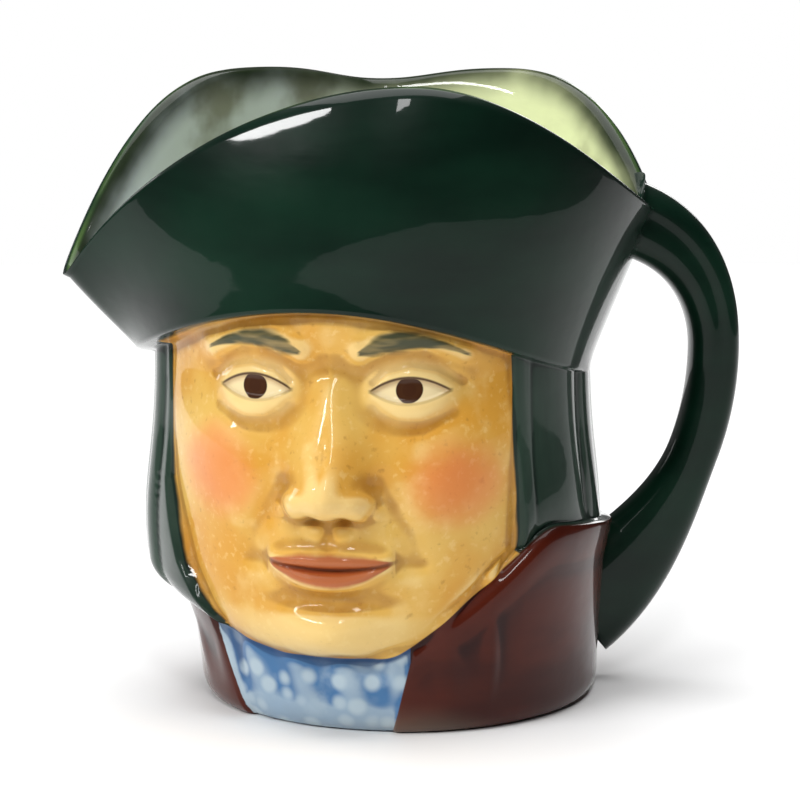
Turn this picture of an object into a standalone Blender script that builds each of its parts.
"""A character jug: a hollow glazed earthenware head in a three-cornered hat, with a loop handle.

Metres, +Z up. The jug stands on its foot ring at z = 0, its front toward -Y and its handle toward +X.
Directions around the bowl are degrees seen from above: 0 is the front, 90 the handle, -90 the spout.
"""

import math

import bmesh
import bpy
import numpy as np

# Whole jug
HEIGHT = 0.160
WALL = 0.0042
AXIS_X = -0.0014
AXIS_Y = 0.0022
SEAM_BLEND = 0.0012
LAYER_SINK = 0.009
LAYER_OVERLAP = 0.0030
SMOOTHING_STEPS = 9

# Foot and floor
FOOT_RADIUS = 0.0514
FOOT_ROUND = 0.0034
FOOT_ROUND_TALL = 0.0060
FOOT_RING_WIDTH = 0.0065
FOOT_RECESS = 0.0025
RECESS_SLOPE = 0.0015
FLOOR_HEIGHT = 0.0068
FLOOR_ROUND = 0.012

# Coat: a round foot that grows into a wider collar leaning toward the front
COLLAR_HALF_WIDTH = 0.0572
COLLAR_HALF_DEPTH = 0.0575
COLLAR_CENTRE_X = -0.0037
COLLAR_CENTRE_Y = -0.0025
COLLAR_FULL_HEIGHT = 0.048
COLLAR_GROWTH = 1.7
COLLAR_LIP = 0.0012
COLLAR_LIP_DEPTH = 0.012
COAT_EDGE_SOFT = 0.0030

# The line round the bowl where coat and cravat end and head and hair begin, as direction and height
NECK_LINE = (
    (-140.0, 0.0440),
    (-96.0, 0.0305),
    (-64.0, 0.0255),
    (-44.0, 0.0196),
    (-8.0, 0.0196),
    (34.0, 0.0505),
    (92.0, 0.0440),
    (220.0, 0.0440),
)
NECK_LINE_SOFT = 5.0

# The two front edges of the coat, as height and direction
COAT_EDGE_RIGHT = ((0.0, -8.5), (0.0190, -3.5))
COAT_EDGE_LEFT = ((0.0, -57.0), (0.0285, -66.5), (0.0500, -78.0))

# Cravat
CRAVAT_FOOT_RADIUS = 0.0500
CRAVAT_SWELL = 0.0036
CRAVAT_SWELL_HEIGHT = 0.024
CRAVAT_FOLD = 0.0008
CRAVAT_FOLD_PITCH = 14.0
CRAVAT_FOLD_SLANT = 0.35
CRAVAT_SIDE_START = 50.0
CRAVAT_SIDE_END = 65.0

# Head
FACE_TURN = -18.0
FACE_SIDE_TURN = 78.0
HEAD_CENTRE_X = -0.0062
HEAD_CENTRE_Y = -0.0010
HEAD_HALF_WIDTH = 0.0540
HEAD_HALF_DEPTH = 0.0575
CHIN_HEIGHT = 0.0190
JAW_HEIGHT = 0.0650
JAW_NARROWING = 0.42
CHIN_ROUND_TOP = 0.0315
CHIN_UNDERCUT = 0.0105

# Hair
HAIR_CENTRE_X = -0.0072
HAIR_CENTRE_Y = -0.0010
HAIR_HALF_WIDTH = 0.0560
HAIR_HALF_DEPTH = 0.0565
HAIR_SWELL = 0.0030
HAIR_SWELL_HEIGHT = 0.047
HAIR_SWELL_TALL = 0.022
HAIR_EDGE_SOFT = 0.0040
HAIR_FRONT_RIGHT = ((0.030, 27.5), (0.095, 24.0))
HAIR_FRONT_LEFT = ((0.026, -58.0), (0.040, -68.0), (0.060, -75.0), (0.095, -77.0))
HAIR_ROLL = 0.0085
HAIR_TUCK = 0.0028
LOCK_PARTINGS = (
    24.0, 33.0, 59.0, 76.0, 94.0, 110.0, 128.0, 147.0, 164.0,
    182.0, 198.0, 216.0, 233.0, 248.0, 262.0, 273.0, 283.0,
)
LOCK_GROOVE = 0.0017
LOCK_GROOVE_SPREAD = 0.3
LOCK_ROUNDNESS = 0.6
LOCK_SWAY = 2.5

# Hat: lower edge, three corners and three turned-up brims
BAND_CENTRE_X = -0.0101
BAND_CENTRE_Y = -0.0030
BAND_HALF_WIDTH = 0.0578
BAND_HALF_DEPTH = 0.0600
BAND_HEIGHT = 0.0838
BAND_ARCH = 0.0230
BAND_ARCH_TURN = -26.0
BAND_ARCH_SPREAD = 58.0
BAND_EDGE_SOFT = 0.0026
HAT_SWELL = 0.0036
HAT_SWELL_SHAPE = 1.25
HAT_SWELL_SPREAD = 56.0

SPOUT_TURN = -90.0
SPOUT_RADIUS = 0.0893
SPOUT_HEIGHT = 0.1062
HANDLE_CORNER_TURN = 90.0
HANDLE_CORNER_RADIUS = 0.0670
HANDLE_CORNER_HEIGHT = 0.1258
BACK_CORNER_TURN = 178.0
BACK_CORNER_RADIUS = 0.0660
BACK_CORNER_DIP = 0.0040
BACK_CORNER_SPREAD = 18.0
CORNER_SHARPNESS = 2.4
CORNER_ROUND = 4.0

FRONT_BRIM_TURN = -4.0
FRONT_BRIM_RADIUS = 0.0583
FRONT_BRIM_SWEEP = 0.75
LEFT_BRIM_TURN = -145.0
LEFT_BRIM_RADIUS = 0.0588
LEFT_BRIM_HEIGHT = 0.1592
LEFT_BRIM_RISE = 3.5
RIGHT_BRIM_TURN = 142.0
RIGHT_BRIM_RADIUS = 0.0611
RIGHT_BRIM_HEIGHT = 0.1584
RIGHT_BRIM_RISE = 2.24

# Inside of the bowl
HOLLOW_FOOT_RADIUS = 0.0462
HOLLOW_CENTRE_X = -0.0075
HOLLOW_CENTRE_Y = -0.0010
HOLLOW_HALF_WIDTH = 0.0493
HOLLOW_HALF_DEPTH = 0.0495
HOLLOW_FULL_HEIGHT = 0.060
HOLLOW_HAT_START = 0.001
HOLLOW_HAT_END = 0.016
SLANT_ALLOWANCE = 1.2

# Handle: a bent bar in the XZ plane that flares where it meets the body
HANDLE_TOP = (0.0530, 0.1238)
HANDLE_TOP_PULL = (0.0195, -0.0032)
HANDLE_SIDE = (0.0828, 0.0880)
HANDLE_SIDE_PULL_UP = 0.0182
HANDLE_SIDE_PULL_DOWN = 0.0260
HANDLE_END = (0.0460, 0.0185)
HANDLE_END_PULL = (0.0240, 0.0190)
HANDLE_TOP_TAPER = 0.5
HANDLE_END_FLARE = 0.68
HANDLE_WIDTH_TOP = 0.0202
HANDLE_WIDTH_SIDE = 0.0130
HANDLE_WIDTH_END = 0.0280
HANDLE_DEPTH_TOP = 0.0170
HANDLE_DEPTH_SIDE = 0.0145
HANDLE_DEPTH_END = 0.0165
HANDLE_GROOVE = 0.0012
HANDLE_GROOVE_PLACE = 0.15
HANDLE_GROOVE_WIDE = 0.35
HANDLE_GROOVE_FADE = 0.8
HANDLE_SQUARENESS = 2.6
HANDLE_SETBACK = 0.0010

# Soft forms of the face, mirrored about its middle: aside, above the chin, half width, half height, out
FACE_FORMS = {
    "eye socket": (0.0165, 0.0692, 0.0150, 0.0085, -0.0036),
    "nose root": (0.0000, 0.0730, 0.0060, 0.0040, -0.0012),
    "cheekbone": (0.0310, 0.0550, 0.0120, 0.0090, 0.0026),
    "cheek": (0.0260, 0.0420, 0.0110, 0.0110, 0.0028),
    "muzzle": (0.0000, 0.0270, 0.0165, 0.0110, 0.0030),
    "chin": (0.0000, 0.0085, 0.0110, 0.0065, 0.0044),
    "chin crease": (0.0000, 0.0165, 0.0120, 0.0028, -0.0020),
    "temple": (0.0430, 0.0760, 0.0080, 0.0120, -0.0012),
    "jaw": (0.0340, 0.0200, 0.0110, 0.0110, 0.0014),
    "forehead": (0.0000, 0.0850, 0.0240, 0.0060, 0.0010),
    "nose ball": (0.0000, 0.0450, 0.0074, 0.0066, 0.0026),
    "nose side": (0.0060, 0.0520, 0.0050, 0.0100, 0.0018),
    "nose wing": (0.0086, 0.0412, 0.0036, 0.0040, 0.0044),
    "nostril": (0.0038, 0.0372, 0.0020, 0.0015, -0.0026),
    "philtrum": (0.0000, 0.0325, 0.0018, 0.0035, -0.0008),
    "mouth corner": (0.0174, 0.0262, 0.0032, 0.0032, -0.0012),
}

# Lines of the face, mirrored too: points aside and above the chin, half width, out
FACE_LINES = {
    "brow": (((0.0080, 0.0775), (0.0150, 0.0800), (0.0230, 0.0800), (0.0310, 0.0770)), 0.0034, 0.0020),
    "lid above": (((0.0104, 0.0700), (0.0135, 0.0732), (0.0195, 0.0748), (0.0304, 0.0698)), 0.0010, -0.001),
    "lid below": (((0.0108, 0.0640), (0.0160, 0.0602), (0.0220, 0.0596), (0.0285, 0.0622)), 0.0018, -0.0006),
    "smile": (((0.0112, 0.0450), (0.0152, 0.0400), (0.0190, 0.0330), (0.0212, 0.0262)), 0.0030, -0.0011),
    "nose wing edge": (((0.0106, 0.0450), (0.0118, 0.0414), (0.0102, 0.0380)), 0.0012, -0.0010),
}
FAR_FROM_LINE = 1.0
EYE_ASIDE = 0.0190
EYE_ABOVE_CHIN = 0.0680
EYE_HALF_WIDTH = 0.0092
EYEBALL_HALF_WIDTH = 0.0152
EYEBALL_HALF_HEIGHT = 0.0112
EYE_OUT = 0.0040
UPPER_LID = 0.0034
LOWER_LID = 0.0027
LID_THICK = 0.0011
LID_SOFT = 0.0012
LID_FADE_START = 0.05
LID_FADE_END = 0.6
NOSE_TOP = 0.0765
NOSE_TIP = 0.0430
NOSE_UNDER = 0.0060
NOSE_OUT = 0.0102
NOSE_SLOPE = 1.05
NOSE_WIDTH_TOP = 0.0050
NOSE_WIDTH_TIP = 0.0078
NOSE_SHAPE = 2.2
MOUTH_ABOVE_CHIN = 0.0248
MOUTH_HALF_WIDTH = 0.0158
MOUTH_RISE = 0.0016
UPPER_LIP_ABOVE = 0.0026
UPPER_LIP_TALL = 0.0022
UPPER_LIP_OUT = 0.0024
LOWER_LIP_BELOW = 0.0032
LOWER_LIP_TALL = 0.0026
LOWER_LIP_OUT = 0.0028
LIP_LINE_TALL = 0.0009
LIP_LINE_DEPTH = 0.0014
FACE_FADE = 0.0030

# Mesh density, and the share of its triangles kept once flat stretches are thinned out
COLUMNS = 220
ROWS_BELOW_NECK = 14
ROWS_OF_HEAD = 72
ROWS_OF_HAT = 16
ROWS_INSIDE = 14
RIM_STEPS = 3
KEPT_SHARE = 0.175
ROW_CROWDING = 0.45
FACE_CROWDING = 1.3
COLUMN_LEAN_SPREAD = 26.0
FACE_COLUMNS = 1.9
FACE_COLUMNS_SHIFT = -6.0
FACE_COLUMNS_SPREAD = 46.0
CORNER_COLUMNS = 1.6
CORNER_COLUMNS_SPREAD = 9.0
ZONE_EDGE_SPREADS = (0.06, 0.04)
FEATURE_SPREAD = 0.06
INSIDE_CROWDING = 1.25
HANDLE_STATIONS = 44
HANDLE_SIDES = 24
TRIM_HEIGHTS = (0.0, 0.022, 0.045, 0.068, 0.091, 0.114, 0.137)


def smooth_step(value, low, high):
    """Goes from 0 at low to 1 at high with level ends."""
    share = np.clip((value - low) / (high - low), 0.0, 1.0)
    return share * share * (3.0 - 2.0 * share)


def smooth_max(first, second):
    """The larger of two radii, blended where they meet."""
    return 0.5 * (first + second + np.sqrt((first - second) ** 2 + SEAM_BLEND**2))


def hump(value, centre, spread):
    """A bell of height 1."""
    return np.exp(-(((value - centre) / spread) ** 2))


def turned(angle, centre):
    """Degrees from centre to angle, between -180 and 180."""
    return (angle - centre + 180.0) % 360.0 - 180.0


def along(points, value):
    """The height of a line through points at value, straight between them."""
    places, heights = zip(*points)
    return np.interp(value, places, heights)


def ellipse_radius(angle, turn, centre_x, centre_y, half_side, half_ahead):
    """Distance from the bowl's axis to an ellipse that faces turn and stands off the axis."""
    course = np.radians(angle - turn)
    facing = math.radians(turn)
    side = np.sin(course)
    ahead = np.cos(course)
    centre_side = centre_x * math.cos(facing) + centre_y * math.sin(facing)
    centre_ahead = centre_x * math.sin(facing) - centre_y * math.cos(facing)
    squared = (side / half_side) ** 2 + (ahead / half_ahead) ** 2
    mixed = side * centre_side / half_side**2 + ahead * centre_ahead / half_ahead**2
    rest = (centre_side / half_side) ** 2 + (centre_ahead / half_ahead) ** 2 - 1.0
    return (mixed + np.sqrt(mixed**2 - squared * rest)) / squared


def sunk(radius, inside, soft):
    """A layer's radius where inside is above 0, falling away past the layer's edge."""
    drop = LAYER_SINK * (1.0 - smooth_step(inside, -soft, 0.0))
    return radius - drop - np.maximum(-soft - inside, 0.0)


def rounded(rule, angle, soft):
    """What a rule gives at a direction, evened out over some degrees to each side."""
    shifts = np.linspace(-soft, soft, SMOOTHING_STEPS)
    return sum(rule(angle + shift) for shift in shifts) / SMOOTHING_STEPS


def sharp_neck_line(angle):
    """Height where the dress ends and the head begins, with sharp bends."""
    return along(NECK_LINE, turned(angle, 40.0) + 40.0)


def neck_line(angle):
    """Height where the dress ends and the head begins."""
    return rounded(sharp_neck_line, angle, NECK_LINE_SOFT)


def band_line(angle):
    """Height of the hat's lower edge."""
    away = turned(angle, BAND_ARCH_TURN)
    return BAND_HEIGHT + BAND_ARCH * hump(away, 0.0, BAND_ARCH_SPREAD)


def front_rim_height(angle):
    """Height of the front brim's edge, highest over its middle."""
    left = np.clip((FRONT_BRIM_TURN - angle) / (FRONT_BRIM_TURN - SPOUT_TURN), 0.0, 1.0)
    right = np.clip((angle - FRONT_BRIM_TURN) / (HANDLE_CORNER_TURN - FRONT_BRIM_TURN), 0.0, 1.0)
    left_drop = (HEIGHT - SPOUT_HEIGHT) * (FRONT_BRIM_SWEEP * left**2 + (1.0 - FRONT_BRIM_SWEEP) * left**5)
    right_drop = (HEIGHT - HANDLE_CORNER_HEIGHT) * smooth_step(right, 0.0, 1.0)
    return HEIGHT - left_drop - right_drop


def back_rim_height(angle):
    """Height of the two back brims' edges and of the corner between them, for angles of 90 to 270."""
    spout = SPOUT_TURN + 360.0
    left_brim = LEFT_BRIM_TURN + 360.0
    left = np.clip((spout - angle) / (spout - left_brim), 0.0, 1.0)
    right = np.clip((angle - HANDLE_CORNER_TURN) / (RIGHT_BRIM_TURN - HANDLE_CORNER_TURN), 0.0, 1.0)
    left_height = SPOUT_HEIGHT + (LEFT_BRIM_HEIGHT - SPOUT_HEIGHT) * (1.0 - (1.0 - left) ** LEFT_BRIM_RISE)
    right_rise = (RIGHT_BRIM_HEIGHT - HANDLE_CORNER_HEIGHT) * (1.0 - (1.0 - right) ** RIGHT_BRIM_RISE)
    right_height = HANDLE_CORNER_HEIGHT + right_rise
    dip = BACK_CORNER_DIP * hump(angle, BACK_CORNER_TURN, BACK_CORNER_SPREAD)
    share = smooth_step(angle, RIGHT_BRIM_TURN, left_brim)
    return right_height + (left_height - right_height) * share - dip


def sharp_rim_line(angle):
    """Height of the rim all round, with sharp corners."""
    ahead = turned(angle, 0.0)
    front = front_rim_height(ahead)
    back = back_rim_height(ahead % 360.0)
    return np.where(np.abs(ahead) <= 90.0, front, back)


def rim_line(angle):
    """Height of the rim all round."""
    return rounded(sharp_rim_line, angle, CORNER_ROUND)


def sharp_rim_radius(angle):
    """Radius of the rim's outer edge: three arcs that meet in pointed corners."""
    corners = (
        (SPOUT_TURN, SPOUT_RADIUS),
        (HANDLE_CORNER_TURN, HANDLE_CORNER_RADIUS),
        (BACK_CORNER_TURN, BACK_CORNER_RADIUS),
    )
    brims = (
        (FRONT_BRIM_TURN, FRONT_BRIM_RADIUS),
        (LEFT_BRIM_TURN, LEFT_BRIM_RADIUS),
        (RIGHT_BRIM_TURN, RIGHT_BRIM_RADIUS),
    )
    radius = np.zeros_like(angle)
    for brim_turn, brim_radius in brims:
        away = turned(angle, brim_turn)
        for corner_turn, corner_radius in corners:
            reach = turned(corner_turn, brim_turn)
            share = away / reach
            own = (share >= 0.0) & (share <= 1.0) & (abs(reach) < 100.0)
            arc = brim_radius + (corner_radius - brim_radius) * np.clip(share, 0.0, 1.0) ** CORNER_SHARPNESS
            radius = np.where(own, np.maximum(radius, arc), radius)
    return radius


def rim_radius(angle):
    """Radius of the rim's outer edge, its corners rounded."""
    return rounded(sharp_rim_radius, angle, CORNER_ROUND)


def hat_body(angle, height):
    """Radius of the hat's outside, from its lower edge to the rim."""
    bottom = ellipse_radius(angle, 0.0, BAND_CENTRE_X, BAND_CENTRE_Y, BAND_HALF_WIDTH, BAND_HALF_DEPTH)
    low = band_line(angle)
    share = np.clip((height - low) / (rim_line(angle) - low), 0.0, 1.0)
    swell = HAT_SWELL * np.sin(math.pi * share**HAT_SWELL_SHAPE)
    swell = swell * hump(turned(angle, FRONT_BRIM_TURN), 0.0, HAT_SWELL_SPREAD)
    return bottom + (rim_radius(angle) - bottom) * share + swell


def coat_body(angle, height):
    """Radius of the coat, from the round foot to the wide collar."""
    grown = np.clip(height / COLLAR_FULL_HEIGHT, 0.0, 1.0) ** COLLAR_GROWTH
    centre_x = COLLAR_CENTRE_X * grown
    centre_y = COLLAR_CENTRE_Y * grown
    half_width = FOOT_RADIUS + (COLLAR_HALF_WIDTH - FOOT_RADIUS) * grown
    half_depth = FOOT_RADIUS + (COLLAR_HALF_DEPTH - FOOT_RADIUS) * grown
    radius = ellipse_radius(angle, 0.0, centre_x, centre_y, half_width, half_depth)
    top = neck_line(angle)
    return radius + COLLAR_LIP * smooth_step(height, top - COLLAR_LIP_DEPTH, top)


def coat_layer(angle, height):
    """The coat, sunk away inside its front opening and above its collar."""
    arc = math.radians(COLLAR_HALF_WIDTH)
    around = turned(angle, 60.0) + 60.0
    right = (around - along(COAT_EDGE_RIGHT, height)) * arc
    left = (along(COAT_EDGE_LEFT, height) - around) * arc
    inside = np.maximum(right, np.where(around < 0.0, left, -1.0))
    inside = np.minimum(inside, neck_line(angle) - height)
    return sunk(coat_body(angle, height), inside, COAT_EDGE_SOFT)


def cravat_layer(angle, height):
    """The soft cloth that fills the coat's opening, sunk away behind the chin."""
    share = np.clip(height / CRAVAT_SWELL_HEIGHT, 0.0, 1.0)
    middle = 0.5 * (COAT_EDGE_RIGHT[0][1] + COAT_EDGE_LEFT[0][1])
    away = turned(angle, middle)
    turns = away / CRAVAT_FOLD_PITCH + CRAVAT_FOLD_SLANT * share
    fold = CRAVAT_FOLD * np.cos(2.0 * math.pi * turns) * share
    aside = smooth_step(np.abs(away), CRAVAT_SIDE_START, CRAVAT_SIDE_END)
    radius = CRAVAT_FOOT_RADIUS + CRAVAT_SWELL * np.sin(0.5 * math.pi * share) + fold
    return sunk(radius - LAYER_SINK * aside, neck_line(angle) + LAYER_OVERLAP - height, LAYER_OVERLAP)


def hair_inside(angle, height):
    """Distance from the hair's front edges, positive on the hair."""
    around = turned(angle, 150.0) + 150.0
    arc = math.radians(HAIR_HALF_WIDTH)
    right = (around - along(HAIR_FRONT_RIGHT, height)) * arc
    left = (along(HAIR_FRONT_LEFT, height) + 360.0 - around) * arc
    return np.minimum(right, left)


def head_layer(angle, height):
    """The smooth head under the features, rounded in under the chin and sunk away past the bare face."""
    drop = np.clip((JAW_HEIGHT - height) / (JAW_HEIGHT - CHIN_HEIGHT), 0.0, 1.0)
    half_width = HEAD_HALF_WIDTH * np.sqrt(1.0 - JAW_NARROWING * drop**2)
    under = np.clip((CHIN_ROUND_TOP - height) / (CHIN_ROUND_TOP - CHIN_HEIGHT), 0.0, 1.0)
    tuck = CHIN_UNDERCUT * (1.0 - np.sqrt(1.0 - under**2))
    radius = ellipse_radius(
        angle, FACE_TURN, HEAD_CENTRE_X, HEAD_CENTRE_Y, half_width - tuck, HEAD_HALF_DEPTH - tuck
    )
    bare = np.minimum(height - neck_line(angle), band_line(angle) - height)
    bare = np.minimum(bare, -hair_inside(angle, height))
    return sunk(radius, bare + LAYER_OVERLAP, LAYER_OVERLAP)


def hair_layer(angle, height):
    """Long straight hair beside and behind the face, its ends rolled under, sunk away inside the hat."""
    around = turned(angle, 150.0) + 150.0
    radius = ellipse_radius(angle, 0.0, HAIR_CENTRE_X, HAIR_CENTRE_Y, HAIR_HALF_WIDTH, HAIR_HALF_DEPTH)
    radius = radius + HAIR_SWELL * hump(height, HAIR_SWELL_HEIGHT, HAIR_SWELL_TALL)
    sway = LOCK_SWAY * np.sin(height / HAIR_SWELL_HEIGHT)
    place = np.interp(around + sway, LOCK_PARTINGS, np.arange(len(LOCK_PARTINGS)))
    depth = LOCK_GROOVE * (1.0 - LOCK_GROOVE_SPREAD * (1.0 - np.cos(math.pi * place)))
    radius = radius - depth * (1.0 - np.abs(np.sin(math.pi * place)) ** LOCK_ROUNDNESS)
    under = np.clip((neck_line(angle) + HAIR_ROLL - height) / HAIR_ROLL, 0.0, 1.0)
    tucked = coat_body(angle, height) - HAIR_TUCK
    radius = radius - (radius - tucked) * (1.0 - np.sqrt(1.0 - under**2))
    radius = sunk(radius, hair_inside(angle, height), HAIR_EDGE_SOFT)
    return sunk(radius, band_line(angle) + LAYER_OVERLAP - height, LAYER_OVERLAP)


def hat_layer(angle, height):
    """The hat, sunk away below its lower edge."""
    return sunk(hat_body(angle, height), height - band_line(angle), BAND_EDGE_SOFT)


def line_form(points, half_width, stand, across, above_chin):
    """A line pressed into the face or raised on it."""
    nearest = np.full_like(across, FAR_FROM_LINE)
    for (x0, y0), (x1, y1) in zip(points[:-1], points[1:]):
        step_x = x1 - x0
        step_y = y1 - y0
        share = ((across - x0) * step_x + (above_chin - y0) * step_y) / (step_x**2 + step_y**2)
        share = np.clip(share, 0.0, 1.0)
        gap = np.hypot(across - x0 - share * step_x, above_chin - y0 - share * step_y)
        nearest = np.minimum(nearest, gap)
    return stand * hump(nearest, 0.0, half_width)


def eye_form(across, above_chin):
    """The eyeball in its socket, and the lids that stand round its opening."""
    ball_side = (across - EYE_ASIDE) / EYEBALL_HALF_WIDTH
    ball_rise = (above_chin - EYE_ABOVE_CHIN) / EYEBALL_HALF_HEIGHT
    ball = np.clip(1.0 - ball_side**2 - ball_rise**2, 0.0, 1.0) ** 2
    arch = np.clip(1.0 - ((across - EYE_ASIDE) / EYE_HALF_WIDTH) ** 2, 0.0, 1.0)
    below_upper = EYE_ABOVE_CHIN + UPPER_LID * arch - above_chin
    above_lower = above_chin - EYE_ABOVE_CHIN + LOWER_LID * arch
    covered = 1.0 - smooth_step(np.minimum(below_upper, above_lower), 0.0, LID_SOFT)
    return EYE_OUT * ball + LID_THICK * covered * smooth_step(ball, LID_FADE_START, LID_FADE_END)


def nose_form(across, above_chin):
    """The bridge and the tip, rounded in underneath."""
    down = np.clip((NOSE_TOP - above_chin) / (NOSE_TOP - NOSE_TIP), 0.0, 1.0)
    under = np.clip((NOSE_TIP - above_chin) / NOSE_UNDER, 0.0, 1.0)
    width = NOSE_WIDTH_TOP + (NOSE_WIDTH_TIP - NOSE_WIDTH_TOP) * down
    out = NOSE_OUT * down**NOSE_SLOPE * np.sqrt(1.0 - under**2)
    return out * np.exp(-((across / width) ** NOSE_SHAPE))


def mouth_form(across, above_chin):
    """Two closed lips and the line between them."""
    reach = (across / MOUTH_HALF_WIDTH) ** 2
    taper = np.clip(1.0 - reach, 0.0, 1.0)
    level = MOUTH_ABOVE_CHIN + MOUTH_RISE * reach
    upper = UPPER_LIP_OUT * hump(above_chin, level + UPPER_LIP_ABOVE * taper, UPPER_LIP_TALL)
    lower = LOWER_LIP_OUT * hump(above_chin, level - LOWER_LIP_BELOW * taper, LOWER_LIP_TALL)
    line = LIP_LINE_DEPTH * hump(above_chin, level, LIP_LINE_TALL)
    return (upper + lower - line) * np.sqrt(taper)


def face_relief(side, above_chin):
    """How far the features stand out from the smooth head, at a place across and above the chin."""
    across = np.abs(side)
    out = eye_form(across, above_chin) + nose_form(across, above_chin) + mouth_form(across, above_chin)
    for aside, above, half_width, half_height, stand in FACE_FORMS.values():
        out = out + stand * hump(across, aside, half_width) * hump(above_chin, above, half_height)
    for points, half_width, stand in FACE_LINES.values():
        out = out + line_form(points, half_width, stand, across, above_chin)
    return out


def outer_point(angle, height):
    """Coordinates on the outside of the bowl, one row each for x and y."""
    coat = coat_layer(angle, height)
    cravat = cravat_layer(angle, height)
    head = head_layer(angle, height)
    hair = hair_layer(angle, height)
    hat = hat_layer(angle, height)
    dress = smooth_max(smooth_max(coat, cravat), smooth_max(hair, hat))
    radius = smooth_max(head, dress)
    round_in = np.clip(1.0 - height / FOOT_ROUND_TALL, 0.0, 1.0)
    radius = radius - FOOT_ROUND * (1.0 - np.sqrt(1.0 - round_in**2))
    x = radius * np.sin(np.radians(angle))
    y = -radius * np.cos(np.radians(angle))
    facing = math.radians(FACE_TURN)
    side = (x - HEAD_CENTRE_X) * math.cos(facing) + (y - HEAD_CENTRE_Y) * math.sin(facing)
    ahead = np.abs(turned(angle, FACE_TURN)) < FACE_SIDE_TURN
    bare = smooth_step(head - dress, 0.0, FACE_FADE) * ahead
    out = face_relief(side, height - CHIN_HEIGHT) * bare
    return x + out * math.sin(facing), y - out * math.cos(facing)


def hollow_radius(angle, height):
    """Radius of the smooth inside of the bowl."""
    grown = smooth_step(height, 0.0, HOLLOW_FULL_HEIGHT)
    half_width = HOLLOW_FOOT_RADIUS + (HOLLOW_HALF_WIDTH - HOLLOW_FOOT_RADIUS) * grown
    half_depth = HOLLOW_FOOT_RADIUS + (HOLLOW_HALF_DEPTH - HOLLOW_FOOT_RADIUS) * grown
    centre_x = HOLLOW_CENTRE_X * grown
    centre_y = HOLLOW_CENTRE_Y * grown
    bowl = ellipse_radius(angle, 0.0, centre_x, centre_y, half_width, half_depth)
    corner = np.clip(1.0 - (height - FLOOR_HEIGHT) / FLOOR_ROUND, 0.0, 1.0)
    bowl = bowl - FLOOR_ROUND * (1.0 - np.sqrt(1.0 - corner**2))
    brim = hat_body(angle, height) - WALL * SLANT_ALLOWANCE
    above = height - band_line(angle)
    return bowl + (brim - bowl) * smooth_step(above, HOLLOW_HAT_START, HOLLOW_HAT_END)


def spread_out(density, places, count):
    """Places that lie closer together where the density is high."""
    total = np.concatenate(([0.0], np.cumsum(0.5 * (density[1:] + density[:-1]))))
    return np.interp(np.arange(count) / count * total[-1], total, places)


def column_angles(count):
    """Directions of the columns, closer together over the face and at the hat's corners."""
    fine = np.linspace(-180.0, 180.0, 3601)
    away = turned(fine, FACE_TURN + FACE_COLUMNS_SHIFT)
    density = 1.0 + FACE_COLUMNS * hump(away, 0.0, FACE_COLUMNS_SPREAD)
    for corner in (SPOUT_TURN, HANDLE_CORNER_TURN, BACK_CORNER_TURN):
        density = density + CORNER_COLUMNS * hump(turned(fine, corner), 0.0, CORNER_COLUMNS_SPREAD)
    return spread_out(density, fine, count)


def crowded(count):
    """Shares from 0 up to 1, closer together at both ends."""
    even = np.arange(count) / count
    return even - ROW_CROWDING * np.sin(2.0 * math.pi * even) / (2.0 * math.pi)


def crowded_at_features(count):
    """Shares from the neck line up to the hat's edge, closer together at the mouth, nose and eyes."""
    fine = np.linspace(0.0, 1.0, 801)
    tall = BAND_HEIGHT + BAND_ARCH - CHIN_HEIGHT
    density = 1.0 + hump(fine, 0.0, ZONE_EDGE_SPREADS[0]) + hump(fine, 1.0, ZONE_EDGE_SPREADS[1])
    for level in (MOUTH_ABOVE_CHIN, NOSE_TIP - NOSE_UNDER, EYE_ABOVE_CHIN):
        density = density + FACE_CROWDING * hump(fine, level / tall, FEATURE_SPREAD)
    return spread_out(density, fine, count)


def leaned(angle, height):
    """The columns' directions at a height, moved so that they follow the left edge of the hair."""
    upright = HAIR_FRONT_LEFT[-1][1]
    lean = along(HAIR_FRONT_LEFT, height) - upright
    return angle + lean * hump(turned(angle, upright), 0.0, COLUMN_LEAN_SPREAD)


def outer_heights(angle):
    """Heights of the outside rows of every column, from the foot's rounded edge to the rim."""
    top = rim_line(angle) - 0.5 * WALL
    neck = neck_line(angle)
    band = band_line(angle)
    rows = [neck * share for share in crowded(ROWS_BELOW_NECK)]
    rows.extend(neck + (band - neck) * share for share in crowded_at_features(ROWS_OF_HEAD))
    rows.extend(band + (top - band) * share for share in crowded(ROWS_OF_HAT))
    rows.append(top)
    return rows


def ring_of(x, y, z):
    """One closed row of points round the bowl's axis."""
    z = np.broadcast_to(z, x.shape)
    return [(AXIS_X + a, AXIS_Y + b, c) for a, b, c in zip(x, y, z)]


def round_ring(angle, radius, z):
    """A row of points at a radius from the bowl's axis."""
    return ring_of(radius * np.sin(np.radians(angle)), -radius * np.cos(np.radians(angle)), z)


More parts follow.
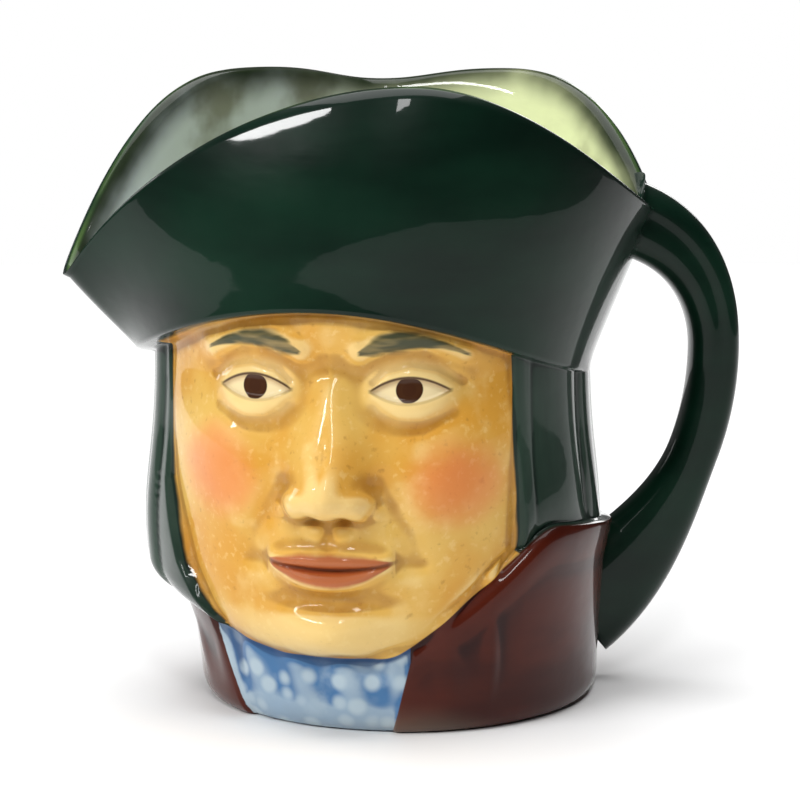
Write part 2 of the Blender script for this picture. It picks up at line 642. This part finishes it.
def bowl_rows():
    """Rows of points from the middle of the underside, up the outside, over the rim and down inside."""
    angle = column_angles(COLUMNS)
    plain = angle[::2]
    flat_edge = FOOT_RADIUS - FOOT_ROUND
    ring_edge = flat_edge - FOOT_RING_WIDTH
    rows = [
        round_ring(plain, np.full_like(plain, ring_edge - RECESS_SLOPE), FOOT_RECESS),
        round_ring(plain, np.full_like(plain, ring_edge), 0.0),
    ]
    for row, height in enumerate(outer_heights(angle)):
        moved = leaned(angle, height)
        height = outer_heights(moved)[row]
        rows.append(ring_of(*outer_point(moved, height), height))
    top = rim_line(angle)
    outer = hat_body(angle, top)
    for step in range(1, RIM_STEPS + 1):
        course = math.pi * step / (RIM_STEPS + 1)
        radius = outer - 0.5 * WALL * SLANT_ALLOWANCE * (1.0 - math.cos(course))
        rows.append(round_ring(angle, radius, top - 0.5 * WALL * (1.0 - math.sin(course))))
    rim_foot = rim_line(plain) - 0.5 * WALL
    for step in range(ROWS_INSIDE + 1):
        share = step / ROWS_INSIDE
        height = rim_foot + (FLOOR_HEIGHT - rim_foot) * (1.0 - (1.0 - share) ** INSIDE_CROWDING)
        rows.append(round_ring(plain, hollow_radius(plain, height), height))
    return rows


def handle_path(share):
    """Centre of the handle, as distance from the bowl's axis and height, from its top to its lower end."""
    top = np.array(HANDLE_TOP)
    side = np.array(HANDLE_SIDE)
    end = np.array(HANDLE_END)
    if share < 0.5:
        points = (
            top,
            top + np.array(HANDLE_TOP_PULL),
            side + np.array((0.0, HANDLE_SIDE_PULL_UP)),
            side,
        )
        t = 2.0 * share
    else:
        points = (
            side,
            side - np.array((0.0, HANDLE_SIDE_PULL_DOWN)),
            end + np.array(HANDLE_END_PULL),
            end,
        )
        t = 2.0 * share - 1.0
    weights = ((1.0 - t) ** 3, 3.0 * t * (1.0 - t) ** 2, 3.0 * t**2 * (1.0 - t), t**3)
    return sum(weight * point for weight, point in zip(weights, points))


def handle_rows():
    """Rounded sections of the handle, with a shallow groove along each side."""
    rows = []
    stations = np.linspace(0.0, 1.0, HANDLE_STATIONS)
    for share in stations:
        centre = handle_path(share)
        course = handle_path(min(share + 0.01, 1.0)) - handle_path(max(share - 0.01, 0.0))
        course = course / np.linalg.norm(course)
        outward = np.array((-course[1], course[0]))
        to_top = 1.0 - smooth_step(share, 0.0, HANDLE_TOP_TAPER)
        to_end = smooth_step(share, HANDLE_END_FLARE, 1.0)
        width = HANDLE_WIDTH_SIDE
        width += (HANDLE_WIDTH_TOP - HANDLE_WIDTH_SIDE) * to_top
        width += (HANDLE_WIDTH_END - HANDLE_WIDTH_SIDE) * to_end
        depth = HANDLE_DEPTH_SIDE
        depth += (HANDLE_DEPTH_TOP - HANDLE_DEPTH_SIDE) * to_top
        depth += (HANDLE_DEPTH_END - HANDLE_DEPTH_SIDE) * to_end
        row = []
        for corner in range(HANDLE_SIDES):
            turn = 2.0 * math.pi * corner / HANDLE_SIDES
            cosine = math.cos(turn)
            sine = math.sin(turn)
            reach = abs(cosine) ** HANDLE_SQUARENESS + abs(sine) ** HANDLE_SQUARENESS
            size = reach ** (-1.0 / HANDLE_SQUARENESS)
            groove = HANDLE_GROOVE * (1.0 - HANDLE_GROOVE_FADE * share) * abs(sine)
            groove = groove * hump(cosine, HANDLE_GROOVE_PLACE, HANDLE_GROOVE_WIDE)
            across = 0.5 * width * size * cosine
            aside = (0.5 * depth * size - groove) * sine
            place = centre + outward * across
            row.append((AXIS_X + place[0], AXIS_Y + HANDLE_SETBACK + aside, place[1]))
        rows.append(row)
    return rows


def join_equal(body, low, high):
    """Four-sided faces between two rows with as many points."""
    for index in range(len(low)):
        after = (index + 1) % len(low)
        body.faces.new((low[index], low[after], high[after], high[index]))


def join_halved(body, many, few):
    """Faces between a row and one that has every second point of it."""
    for index in range(len(few)):
        after = (index + 1) % len(few)
        start = many[2 * index]
        middle = many[2 * index + 1]
        stop = many[(2 * index + 2) % len(many)]
        body.faces.new((start, middle, few[index]))
        body.faces.new((middle, few[after], few[index]))
        body.faces.new((middle, stop, few[after]))


def solid_of_rows(name, rows, points_at_ends):
    """A closed body from rows of points, each end closed by a fan to a point."""
    mesh = bpy.data.meshes.new(name)
    body = bmesh.new()
    made = [[body.verts.new(point) for point in row] for row in rows]
    for low, high in zip(made[:-1], made[1:]):
        if len(low) == len(high):
            join_equal(body, low, high)
        elif len(low) > len(high):
            join_halved(body, low, high)
        else:
            join_halved(body, high, low)
    for row, point in zip((made[0], made[-1]), points_at_ends):
        centre = body.verts.new(point)
        for index in range(len(row)):
            body.faces.new((row[index], row[(index + 1) % len(row)], centre))
    bmesh.ops.recalc_face_normals(body, faces=body.faces)
    bmesh.ops.triangulate(body, faces=body.faces)
    body.to_mesh(mesh)
    body.free()
    made_object = bpy.data.objects.new(name, mesh)
    bpy.context.scene.collection.objects.link(made_object)
    return made_object


def middle_of(row):
    """The mean of a row of points."""
    return tuple(sum(values) / len(row) for values in zip(*row))


def glaze_material():
    """Dark green gloss glaze over earthenware."""
    material = bpy.data.materials.new("green_glaze")
    material.use_nodes = True
    shader = material.node_tree.nodes["Principled BSDF"]
    shader.inputs["Base Color"].default_value = (0.012, 0.050, 0.034, 1.0)
    shader.inputs["Roughness"].default_value = 0.12
    return material


def trim_rows():
    """Rows of a body that fills the bowl to the middle of its wall."""
    angle = column_angles(COLUMNS)[::4]
    rows = []
    for height in TRIM_HEIGHTS:
        level = np.full_like(angle, max(height, FLOOR_HEIGHT + FLOOR_ROUND))
        rows.append(round_ring(angle, hollow_radius(angle, level) + 0.5 * WALL, height))
    return rows


def combine(body, other, operation, name):
    """Unites another body with this one, or cuts it away."""
    step = body.modifiers.new(name, "BOOLEAN")
    step.operation = operation
    step.solver = "EXACT"
    step.object = other
    other.hide_render = True
    other.display_type = "WIRE"


def thin_out(body):
    """Merges triangles where the surface is nearly flat."""
    step = body.modifiers.new("thinned", "DECIMATE")
    step.decimate_type = "COLLAPSE"
    step.use_collapse_triangulate = True
    step.ratio = KEPT_SHARE


def build_jug():
    """Builds the bowl and its handle as one fired piece."""
    bowl_points = bowl_rows()
    under = (AXIS_X, AXIS_Y, FOOT_RECESS)
    floor = (AXIS_X, AXIS_Y, FLOOR_HEIGHT)
    jug = solid_of_rows("jug", bowl_points, (under, floor))
    handle_points = handle_rows()
    handle_ends = (middle_of(handle_points[0]), middle_of(handle_points[-1]))
    handle = solid_of_rows("handle", handle_points, handle_ends)
    trim_points = trim_rows()
    trim_ends = (middle_of(trim_points[0]), middle_of(trim_points[-1]))
    trim = solid_of_rows("handle_trim", trim_points, trim_ends)
    combine(handle, trim, "DIFFERENCE", "ends_trimmed")
    combine(jug, handle, "UNION", "handle_joined")
    thin_out(jug)
    jug.data.materials.append(glaze_material())
    for face in jug.data.polygons:
        face.use_smooth = True
    return jug


for existing in list(bpy.data.objects):
    bpy.data.objects.remove(existing)
build_jug()
